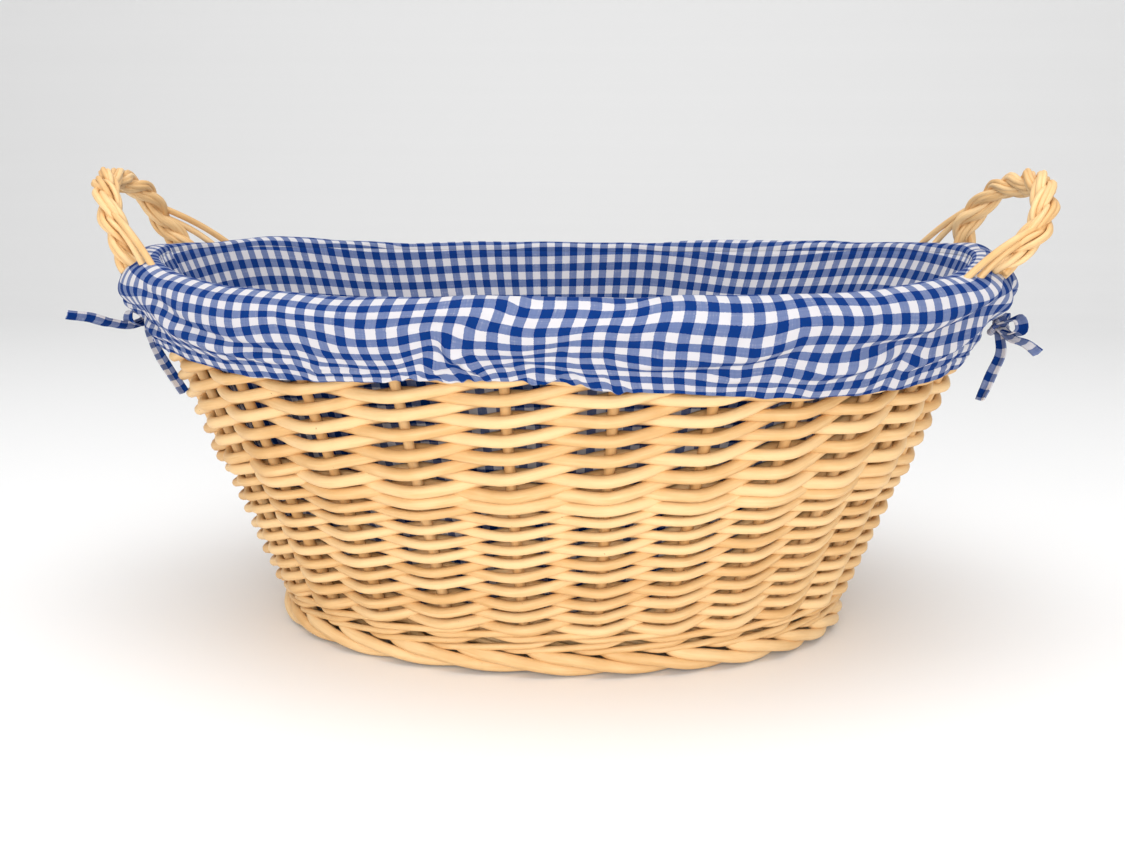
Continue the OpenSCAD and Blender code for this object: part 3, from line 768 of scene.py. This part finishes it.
# Long folds in the puff: angle and share of the way down at each end, then width and depth in millimetres.
front_folds = [(-152, 0.40, -104, 0.93, 5.0, 3.0), (-136, 0.74, -107, 0.97, 3.5, 1.8),
               (-101, 0.58, -96.5, 0.94, 4.0, -2.6), (-94, 0.72, -79, 0.88, 5.0, 3.0),
               (-82, 0.80, -58, 0.62, 5.0, -2.4), (-70, 0.90, -42, 0.74, 4.0, -2.2),
               (-52, 0.62, -20, 0.42, 5.0, -2.4), (-172, 0.50, -148, 0.74, 4.0, 2.0),
               (-40, 0.84, -18, 0.60, 3.5, -1.8)]
back_folds = [(20, 0.45, 50, 0.80, 4.5, 2.6), (48, 0.88, 64, 0.60, 4.0, -2.4),
              (75, 0.66, 98, 0.92, 4.5, 2.6), (112, 0.60, 119, 0.94, 4.0, 2.6),
              (130, 0.94, 160, 0.50, 5.0, -3.0), (92, 0.55, 70, 0.80, 4.0, 2.0)]
# Where the cord bunches the hem: angle, width in metres, and which way the creases lean.
front_bunches = [(-103.5, 0.014, 1.0), (-97, 0.010, -0.8), (-89, 0.016, 0.9), (-82, 0.012, -0.5)]
back_bunches = [(60, 0.016, 0.8), (118, 0.014, -0.8), (128, 0.012, 0.8)]


def hem_level(turn, hem_points):
    """The height of the hem at each angle, with its corners smoothed."""
    angles, levels = np.array(hem_points, float).T
    level = np.interp(np.degrees(turn), angles, levels) / 1000
    return np.convolve(np.pad(level, 20, "edge"), np.ones(41) / 41, "valid")


def bunch(run, v, angle, width, way, seed):
    """Creases that rise from the hem where the cord is tight: how far out, up and along they pull."""
    up = (1.0 - v) * SKIRT_DROP
    across_it = run - rim_distance(np.radians(angle)) - way * up * 0.8
    strength = np.exp(-(across_it / width) ** 2) * ease(up, 0.042, 0.004)
    pushed = strength * (0.0030 * wave(across_it / width * 2.6 + angle, seed + 14) + 0.0016)
    raised = strength * ease(v, 0.80, 1.0) * 0.0024 * wave(across_it / width * 3.1 + angle, seed + 15)
    return pushed, raised, strength * way * 0.004


def long_fold(run, v, angle_1, v_1, angle_2, v_2, width, depth):
    """A fold that steps out on one side of its line and in on the other, and the cloth it swallows."""
    x_1, x_2 = rim_distance(np.radians([angle_1, angle_2]))
    y_1, y_2 = SKIRT_DROP * v_1, SKIRT_DROP * v_2
    length = np.hypot(x_2 - x_1, y_2 - y_1)
    along_x, along_y = (x_2 - x_1) / length, (y_2 - y_1) / length
    x, y = run - x_1, SKIRT_DROP * v - y_1
    s = (x * along_x + y * along_y) / length
    bowed = 0.0035 * np.sin(np.pi * np.clip(s, 0, 1))
    d = (y * along_x - x * along_y - bowed) / (width / 1000)
    window = ease(s, -0.12, 0.22) * ease(s, 1.12, 0.80)
    stepped = window * depth / 1000 * 1.9 * d * np.exp(-d * d * np.where(d * depth > 0, 0.5, 2.2))
    return stepped, window * abs(depth) / 1000 * 1.1 * np.tanh(2.5 * d)


def skirt(name, first, last, seed, hem_points, bunches, folds):
    """Half of the skirt, from one tie to the other."""
    turn = np.linspace(first, last, 760)
    rows = np.linspace(0, 1, 96)
    _, shape = smooth_path([[k[0], k[1] / 1000, k[2] / 1000] for k in skirt_keys], len(rows))
    t, v = np.meshgrid(turn, rows, indexing="ij")
    run = rim_distance(t)
    height = np.broadcast_to(shape[:, 0], t.shape).copy()
    out = np.broadcast_to(shape[:, 1], t.shape).copy()
    end = np.minimum(run - run[0, 0], run[-1, 0] - run)  # distance from the nearer tie
    inside, outside = 1 - ease(v, 0.0, 0.22), ease(v, 0.28, 0.50)
    hem, edge = ease(v, 0.45, 1.0), ease(v, 0.84, 0.90)
    height += hem * (hem_level(turn, hem_points)[:, None] - HEM_LEVEL)
    plain_height, plain_out = height.copy(), out.copy()
    height += hem * 0.0009 * wave(run * 24, seed)
    # Long soft folds that sag along the puff, and finer ones pulled up from the cord.
    slope = run + 0.9 * (0.204 - height)
    puff = field(run * 9, v * 2.6 + run * 3, seed + 2)
    out += outside * 0.0036 * puff * (1 - 0.6 * hem)
    pulls = crease(slope * 19, v * 1.7 - run * 4, seed + 3)
    out -= outside * 0.0036 * np.clip(pulls, 0, 1) ** 1.4 * (0.35 + hem)
    fine = crease((run - 0.5 * (0.204 - height)) * 42, v * 2.1, seed + 12)
    out -= ease(v, 0.42, 0.8) * 0.0009 * np.clip(fine, 0, 1)
    # The doubled hem below its line of stitches, puckered over the cord.
    pucker = 0.6 * wave(run * 150, seed + 4) + 0.4 * wave(run * 70, seed + 5)
    out += edge * (0.0008 + 0.0009 * pucker) + (1 - edge) * ease(v, 0.66, 0.84) * 0.0006 * pucker
    out -= 0.0011 * np.exp(-((v - 0.87) / 0.012) ** 2)
    height += edge * 0.0005 * wave(run * 110 + 0.4, seed + 6)
    drag, hidden = np.zeros_like(t), np.zeros_like(t)
    for angle, width, way in bunches:
        pushed, raised, pulled = bunch(run, v, angle, width, way, seed)
        out, height, drag = out + pushed, height + raised, drag + pulled
    for fold in folds:
        stepped, swallowed = long_fold(run, v, *fold)
        out, hidden = out + stepped, hidden + swallowed
    # Creases that fan out from the tie.
    fan = 15 * np.arctan2(height - 0.178, end + 0.006) + 1.5 * field(run * 20, v * 2, seed + 13)
    out += outside * 0.0024 * ease(end, 0.15, 0.015) * np.sin(fan + seed)
    # The rim's own soft unevenness, and the lining's folds running up to it.
    over = np.exp(-((v - 0.22) / 0.13) ** 2)
    height += over * (0.0019 * wave(run * 14, seed + 7) + 0.0009 * wave(run * 41, seed + 8))
    # Close to the tie the cloth lies plain, so the two skirts meet edge to edge.
    calm = ease(end, 0.0, 0.014)
    height = plain_height + (height - plain_height) * calm
    out = plain_out + (out - plain_out) * calm
    height += rim_rise(t) * (1 - ease(v, 0.28, 0.80))
    out += 0.0062 * np.exp(-((v - 0.46) / 0.17) ** 2) * ease(end, 0.12, 0.02)
    out -= inside * lining_fold(run, 0 * run)
    # The cloth can't pass through the rods, so it stops just outside them.
    rods = SKIRT_CLEARANCE * ease(v, 0.36, 0.50)
    out = np.where(v > 0.36, rods + np.logaddexp(0, (out - rods) / 0.0007) * 0.0007, out)
    points = wall(t, height, out)
    sway_x, sway_y = lining_sway(run, 0 * run)
    shear = outside * (0.006 * field(run * 9, v * 1.6, seed + 9) + 0.008 * v * wave(run * 6, seed + 10))
    bend = outside * (0.0055 * field(run * 10, v * 2, seed + 11) + 0.004 * np.clip(pulls, 0, 1))
    flat_map = np.stack([run + shear + drag + sway_x * (1 - outside),
                         SKIRT_LENGTH * v + bend + hidden + sway_y * (1 - outside)], -1)
    cloth(name, points, flat_map, [name], SKIRT_THICKNESS, (float(run[-1, 0] - run[0, 0]), SKIRT_LENGTH))


gap = 0.003  # radians from a tie to the edge of each skirt
skirt("front_skirt", -np.pi + gap, -gap, 110, front_hem, front_bunches, front_folds)
skirt("back_skirt", gap, np.pi - gap, 130, back_hem, back_bunches, back_folds)

# %% [markdown]
# ## Drawstrings and ties
#
# A cord runs in each hem, and its ends come out at the handles and are tied in a bow. The bow is a
# folded tape: a knot, two loops, and two tails that fall as they like.

# %% Drawstrings
strings = Maker("cotton_cord")
strings.set(Base_Color=strings.mix(strings.noise(strings.flat_map(300.0, 3.0)[0], 1.0),
                                   (0.75, 0.72, 0.70, 1), (0.12, 0.18, 0.45, 1)), Roughness=0.85)
for side, first, last, hem_points in (("front", -np.pi + 0.02, -0.02, front_hem),
                                      ("back", 0.02, np.pi - 0.02, back_hem)):
    t = np.linspace(first, last, 300)
    level = np.interp(np.degrees(t), *np.array(hem_points, float).T) / 1000 + 0.005
    add_rods(f"{side}_drawstring", [(wall(t, level, 0.0074), 0.0008, 6)], strings.material,
             [f"{side}_drawstring"], 11)

# %% Ties
TAPE_THICKNESS = 0.0007
LOOP_WIDTH, TAIL_WIDTH = 0.0062, 0.0058


def tape(route, across, width, seed):
    """A strip of tape along a route, with a shallow fold down its middle and a slight twist."""
    route, at = even_spacing(smooth_route(route), 0.0012)
    along = unit(np.gradient(route, axis=0))
    wide = unit(np.asarray(across, float) - along * (along @ np.asarray(across, float))[:, None])
    face = np.cross(along, wide)
    twist = 0.5 * wave(at * 40, seed)[:, None]
    wide, face = np.cos(twist) * wide + np.sin(twist) * face, np.cos(twist) * face - np.sin(twist) * wide
    across_tape = np.linspace(-1, 1, 9)
    span = (width / 2 * (1 + 0.12 * wave(at * 60, seed + 1)))[:, None] * across_tape
    dip = 0.35 * width / 2 * (np.abs(across_tape)[None] - 0.5) + 0.0003 * wave(at * 200, seed + 2)[:, None]
    points = route[:, None] + span[..., None] * wide[:, None] + dip[..., None] * face[:, None]
    flat_map = np.stack([np.broadcast_to(across_tape * width * 0.5, span.shape) + 0.001 * seed,
                         np.broadcast_to(at[:, None], span.shape)], -1)
    return points, flat_map, float(at[-1])


def smooth_route(keys):
    keys = np.asarray(keys, float)
    _, route = smooth_path(np.column_stack([np.arange(len(keys)), keys]), 12 * len(keys))
    return route


def tie_piece(name, routes, end, width, seed, wide=(1, 0.15, 0.25)):
    """Several strips as one piece; their total length of tape is printed."""
    points, faces, maps, total, start = [], [], [], 0.0, 0
    for k, route in enumerate(routes):
        p, m, length = tape(np.array(route) / 1000 * [end, 1, 1] + knot_at(end), wide, width,
                          seed + 7 * k)
        rows, columns = p.shape[:2]
        faces += grid_faces(rows, columns, start)
        points.append(p.reshape(-1, 3))
        maps.append(m.reshape(-1, 2))
        start += rows * columns
        total += length
    piece = add_piece(name, np.concatenate(points), faces, np.concatenate(maps), checked_cotton, [name])
    thicken(piece, TAPE_THICKNESS)
    width * 1.1 * total
    print(f"{name}: {len(routes)} strips, {total * 1000:.0f} mm of tape")


def knot_at(end):
    """Where the knot is. The handles differ a little, and so do the ties."""
    return np.array([0.2450 if end > 0 else -0.2405, 0.0, 0.174])


# Routes from the knot in millimetres, outwards first, then towards the back, then up.
TIES = {
    "left": {
        "loops": [[(0, -3, 1), (3, -9, 5), (6, -14, 5), (6, -17, 0), (3, -12, -3), (0, -5, -2)],
                  [(0, 3, 1), (3, 8, 5), (5, 12, 4), (5, 14, -1), (2, 9, -4), (0, 4, -2)]],
        "tails": [[(0, -3, -1), (5, -13, -3), (12, -24, -1), (20, -36, 4), (29, -46, 7)],
                  [(0, -2, -3), (-4, -10, -10), (-13, -22, -19), (-25, -36, -28), (-34, -44, -36)]],
    },
    "right": {
        "loops": [[(0, -3, 1), (4, -8, 4), (8, -12, 5), (9, -14, 0), (6, -10, -3), (1, -4, -2)],
                  [(0, 3, 1), (4, 8, 5), (6, 12, 3), (5, 13, -2), (3, 9, -4), (0, 4, -2)]],
        "tails": [[(0, -3, -1), (5, -11, -6), (10, -20, -7), (15, -28, -11)],
                  [(0, -2, -3), (0, -9, -14), (-6, -16, -25), (-13, -24, -38)]],
    },
}
for side, end in (("left", -1), ("right", 1)):
    tie_piece(f"{side}_tie_loops", TIES[side]["loops"], end, LOOP_WIDTH, 7 if end > 0 else 5)
    tie_piece(f"{side}_tie_tails", TIES[side]["tails"], end, TAIL_WIDTH, 3 if end > 0 else 9,
              (0.8, 0.3, 0.8))
    coils = []
    for k in range(3):
        a = np.linspace(0, TURN, 60)
        tilt = (k - 1) * 0.5
        ring = np.stack([0.0028 * np.cos(a) + 0.0012 * (k - 1), 0.0034 * np.sin(a) * np.cos(tilt),
                         0.0034 * np.sin(a) * np.sin(tilt) + 0.0036 * np.cos(a + k)], -1)
        coils.append((ring * [end, 1, 1] + knot_at(end), 0.0019 * (1 + 0.15 * wave(a * 3 + k, 12)), 10))
    add_rods(f"{side}_tie_knot", coils, checked_cotton, [f"{side}_tie_knot"], 12)

# %% [markdown]
# ## Floor, light and camera
#
# The basket stands on a plain pale floor that curves up behind it, in soft light from large panels.
# The camera looks slightly down at the front, a little round to the right.

# %% Studio
paper = Maker("studio_paper")
paper.set(Base_Color=paper.mix(paper.noise(paper.flat_map(4.0, 4.0)[0], 1.0), (0.90, 0.90, 0.90, 1),
                               (0.92, 0.92, 0.92, 1)), Roughness=0.9)
profile = [(-3.0, 0.0), (1.2, 0.0)] + [(1.2 + 0.8 * np.sin(a), 0.8 - 0.8 * np.cos(a))
                                      for a in np.linspace(0.1, np.pi / 2, 12)] + [(2.0, 3.5)]
sweep = np.array([[(x, y, z) for x in (-4.0, 4.0)] for y, z in profile])
backdrop = bpy.data.meshes.new("backdrop")
backdrop.from_pydata(sweep.reshape(-1, 3).tolist(), [],
                     [[2 * i, 2 * i + 1, 2 * i + 3, 2 * i + 2] for i in range(len(profile) - 1)])
backdrop.uv_layers.new(name="Flat")
backdrop.polygons.foreach_set("use_smooth", np.ones(len(backdrop.polygons), bool))
backdrop.materials.append(paper.material)
floor = bpy.data.objects.new("backdrop", backdrop)
bpy.context.collection.objects.link(floor)


def panel(name, place, target, size, watts):
    light = bpy.data.lights.new(name, "AREA")
    light.shape, light.size, light.size_y = "RECTANGLE", size[0], size[1]
    light.energy = watts
    lamp = bpy.data.objects.new(name, light)
    lamp.location = place
    lamp.rotation_euler = (Vector(target) - Vector(place)).to_track_quat("-Z", "Y").to_euler()
    bpy.context.collection.objects.link(lamp)


middle = (0.0, 0.0, 0.12)
panel("overhead", (0.0, -0.2, 1.5), middle, (1.8, 1.4), 16.5)
panel("front_left", (-0.8, -1.6, 0.55), middle, (1.1, 0.9), 6.5)
panel("front_right", (1.0, -1.5, 0.45), middle, (1.1, 0.9), 5)
panel("front_middle", (0.07, -1.05, 0.37), middle, (0.6, 0.45), 3.6)
world = bpy.data.worlds.new("studio")
world.use_nodes = True
world.node_tree.nodes["Background"].inputs["Color"].default_value = (1, 1, 1, 1)
world.node_tree.nodes["Background"].inputs["Strength"].default_value = 0.55
bpy.context.scene.world = world
bpy.context.scene.view_settings.view_transform = "Standard"

CAMERA_ROUND, CAMERA_DOWN = 0.074, 0.214  # radians
camera_data = bpy.data.cameras.new("camera")
camera_data.lens, camera_data.sensor_width = 43.17, 36.0
camera = bpy.data.objects.new("camera", camera_data)
camera.location = (0.0576, -0.7628, 0.2814)
level = np.cos(CAMERA_DOWN)
heading = Vector((-np.sin(CAMERA_ROUND) * level, np.cos(CAMERA_ROUND) * level, -np.sin(CAMERA_DOWN)))
camera.rotation_euler = heading.to_track_quat("-Z", "Y").to_euler()
bpy.context.collection.objects.link(camera)
bpy.context.scene.camera = camera
